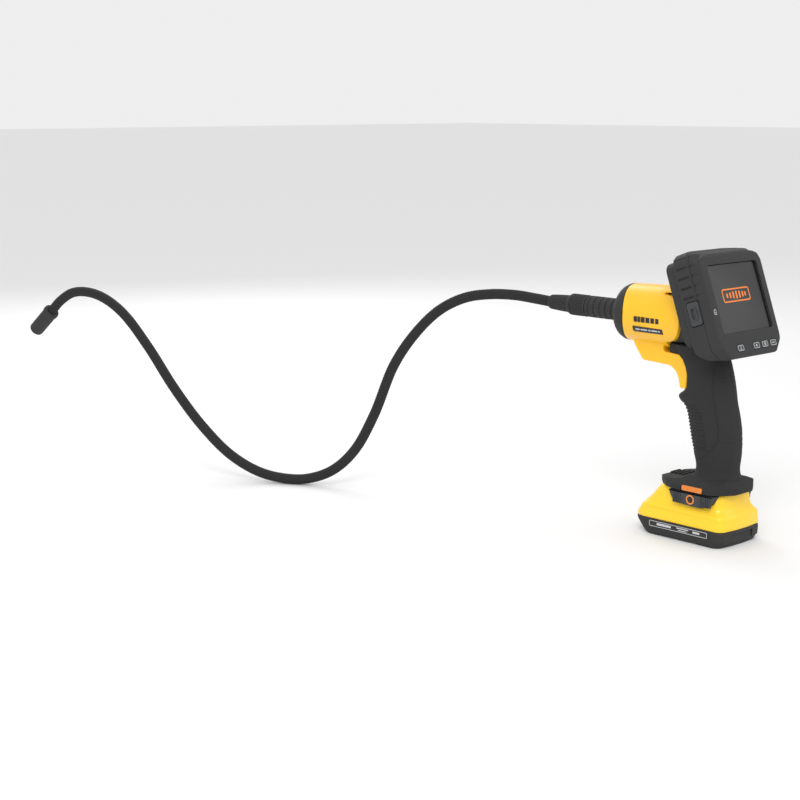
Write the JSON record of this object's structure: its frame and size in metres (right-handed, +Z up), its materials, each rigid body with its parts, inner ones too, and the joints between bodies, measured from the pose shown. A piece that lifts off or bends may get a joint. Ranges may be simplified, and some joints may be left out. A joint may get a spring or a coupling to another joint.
{
  "type": "inspection camera",
  "caption": "Hand-held video inspection camera: pistol grip on a slide-in battery pack, detachable tilted display, locking cable connector, shape-holding gooseneck and camera head.",
  "frame": {"origin": "middle of the battery pack's underside, on the surface that the tool stands on", "axes": "+Y forward along the barrel towards the cable, +X to the user's right, +Z up; the display faces -Y"},
  "size_m": [0.3056, 0.8624, 0.2758],
  "materials": {
    "pack_yellow": "satin moulded plastic, lemon yellow",
    "housing_yellow": "satin moulded plastic, warm yellow",
    "black_plastic": "fine-textured black moulding",
    "grip_rubber": "overmoulded soft black rubber",
    "gooseneck_black": "satin black sleeve over a wound core",
    "button_grey": "dark grey ribbed moulding",
    "window_glass": "gloss black window",
    "lens_glass": "clear lens window",
    "steel": "zinc-plated steel",
    "board_green": "solder-masked board",
    "cell_wrap": "shrink-wrapped cell",
    "contact_copper": "plated contact metal in a black base",
    "label_film": "printed film",
    "orange_trim": "orange print"
  },
  "bodies": {
    "battery_pack": {"battery_lower_case": "black_plastic", "battery_upper_case": "pack_yellow", "battery_label_left": "label_film", "battery_label_right": "label_film", "release_spring_left": "steel", "release_spring_right": "steel", "battery_cell_1": "cell_wrap", "battery_cell_2": "cell_wrap", "battery_cell_3": "cell_wrap", "battery_board": "board_green", "battery_contact_block": "black_plastic", "battery_screw_1": "steel", "battery_screw_2": "steel"},
    "release_button_left": {"release_button_left": "button_grey"},
    "release_button_right": {"release_button_right": "button_grey"},
    "tool": {"housing_left": "housing_yellow", "housing_right": "housing_yellow", "grip_left": "grip_rubber", "grip_right": "grip_rubber", "foot_badge_left": "orange_trim", "foot_badge_right": "orange_trim", "nose_ring": "grip_rubber", "cable_socket": "black_plastic", "dock_bracket": "black_plastic", "main_board": "board_green", "terminal_block": "contact_copper", "housing_screw_1": "steel", "housing_screw_2": "steel", "housing_screw_3": "steel"},
    "dimmer_dial": {"dimmer_dial": "grip_rubber"},
    "display": {"screen_bezel": "black_plastic", "screen_rear_cover": "black_plastic", "screen_window": "window_glass", "lcd_panel": "button_grey", "screen_board": "board_green", "screen_battery": "cell_wrap", "port_block": "steel", "screen_screw_1": "steel", "screen_screw_2": "steel", "screen_screw_3": "steel", "screen_screw_4": "steel"},
    "power_button": {"power_button": "grip_rubber"},
    "menu_button_1": {"menu_button_1": "grip_rubber"},
    "menu_button_2": {"menu_button_2": "grip_rubber"},
    "menu_button_3": {"menu_button_3": "grip_rubber"},
    "port_cover": {"port_cover": "grip_rubber"},
    "cable_plug": {"plug_sleeve": "black_plastic", "gooseneck_stiff_1": "gooseneck_black", "gooseneck_flex_1": "gooseneck_black"},
    "locking_collar": {"locking_collar": "grip_rubber"},
    "cable_trough": {"gooseneck_stiff_2": "gooseneck_black", "gooseneck_flex_2": "gooseneck_black"},
    "cable_rise": {"gooseneck_stiff_3": "gooseneck_black", "gooseneck_flex_3": "gooseneck_black"},
    "camera_head": {"gooseneck_stiff_4": "gooseneck_black", "head_case": "black_plastic", "head_window": "lens_glass", "led_ring": "steel", "camera_module": "contact_copper"}
  },
  "joints": [
    {"name": "tool_lift", "type": "slide", "parent": "battery_pack", "child": "tool", "axis": [0, 0, 1], "range_m": [0, 0.03]},
    {"name": "release_left", "type": "slide", "parent": "battery_pack", "child": "release_button_left", "axis": [1, 0, 0], "range_m": [0, 0.0022], "stiffness_N_per_m": 900, "springref_m": -0.001, "deforming": ["release_spring_left"]},
    {"name": "release_right", "type": "slide", "parent": "battery_pack", "child": "release_button_right", "axis": [-1, 0, 0], "range_m": [0, 0.0022], "stiffness_N_per_m": 900, "springref_m": -0.001, "deforming": ["release_spring_right"]},
    {"name": "dimmer_turn", "type": "hinge", "parent": "tool", "child": "dimmer_dial", "pos_m": [0, 0.054, 0.1703], "axis": [1, 0, 0], "range_deg": [0, 270]},
    {"name": "display_slide", "type": "slide", "parent": "tool", "child": "display", "axis": [0, 0.3404, 0.9403], "range_m": [0, 0.065]},
    {"name": "power_press", "type": "slide", "parent": "display", "child": "power_button", "axis": [0, 0.9403, -0.3404], "range_m": [0, 0.0008], "stiffness_N_per_m": 400, "springref_m": -0.0004},
    {"name": "menu_1_press", "type": "slide", "parent": "display", "child": "menu_button_1", "axis": [0, 0.9403, -0.3404], "range_m": [0, 0.0008], "stiffness_N_per_m": 400, "springref_m": -0.0004},
    {"name": "menu_2_press", "type": "slide", "parent": "display", "child": "menu_button_2", "axis": [0, 0.9403, -0.3404], "range_m": [0, 0.0008], "stiffness_N_per_m": 400, "springref_m": -0.0004},
    {"name": "menu_3_press", "type": "slide", "parent": "display", "child": "menu_button_3", "axis": [0, 0.9403, -0.3404], "range_m": [0, 0.0008], "stiffness_N_per_m": 400, "springref_m": -0.0004},
    {"name": "port_cover_open", "type": "hinge", "parent": "display", "child": "port_cover", "pos_m": [-0.047, -0.01432, 0.21985], "axis": [0, -0.3404, -0.9403], "range_deg": [0, 100]},
    {"name": "cable_unplug", "type": "slide", "parent": "tool", "child": "cable_plug", "axis": [0, 1, 0], "range_m": [0, 0.022]},
    {"name": "collar_turn", "type": "hinge", "parent": "cable_plug", "child": "locking_collar", "pos_m": [0, 0.155, 0.21], "axis": [0, 1, 0], "continuous": true},
    {"name": "gooseneck_sweep", "type": "hinge", "parent": "cable_plug", "child": "cable_trough", "pos_m": [-0.02937, 0.25854, 0.21444], "axis": [0, 0, 1], "range_deg": [-30, 30], "deforming": ["gooseneck_flex_1"]},
    {"name": "gooseneck_lift", "type": "hinge", "parent": "cable_trough", "child": "cable_rise", "pos_m": [-0.20501, 0.53002, 0.05803], "axis": [0.9316, 0.3636, 0], "range_deg": [-10, 40], "deforming": ["gooseneck_flex_2"]},
    {"name": "head_bend", "type": "hinge", "parent": "cable_rise", "child": "camera_head", "pos_m": [-0.23966, 0.67947, 0.19401], "axis": [0.9901, 0.1405, 0], "range_deg": [-30, 50], "deforming": ["gooseneck_flex_3"]}
  ]
}
